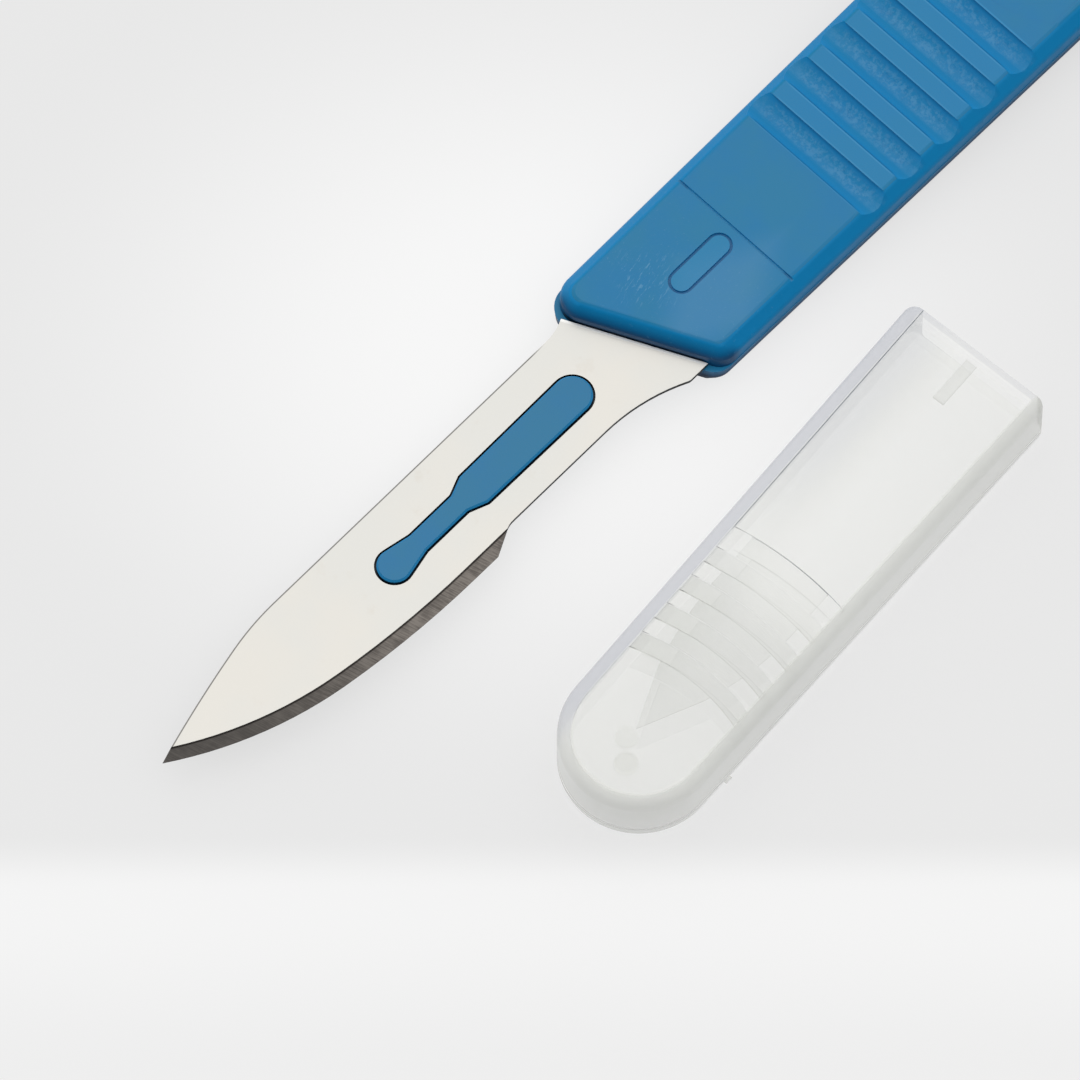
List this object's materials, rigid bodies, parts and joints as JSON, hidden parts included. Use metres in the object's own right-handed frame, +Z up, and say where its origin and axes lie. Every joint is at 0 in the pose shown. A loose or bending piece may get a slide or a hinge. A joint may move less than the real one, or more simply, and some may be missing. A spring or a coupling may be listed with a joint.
{
  "type": "disposable scalpel",
  "caption": "Disposable scalpel with a flat moulded handle, ribbed finger grip, bellied steel blade on a raised key, and its translucent blade guard laid beside it.",
  "frame": {"origin": "on the handle's underside, where the sloping shoulder crosses the handle's middle line", "axes": "+X along the handle's middle line to the point of the blade, +Y to the side of the cutting edge, +Z up, out of the face that carries the marks"},
  "size_m": [0.1601, 0.0397, 0.0065],
  "materials": {
    "handle_plastic": "satin moulded plastic",
    "blade_steel": "satin, ground edge",
    "guard_plastic": "frosted translucent"
  },
  "bodies": {
    "root": {"handle": "handle_plastic", "blade": "blade_steel", "blade_guard": "guard_plastic"}
  },
  "joints": []
}
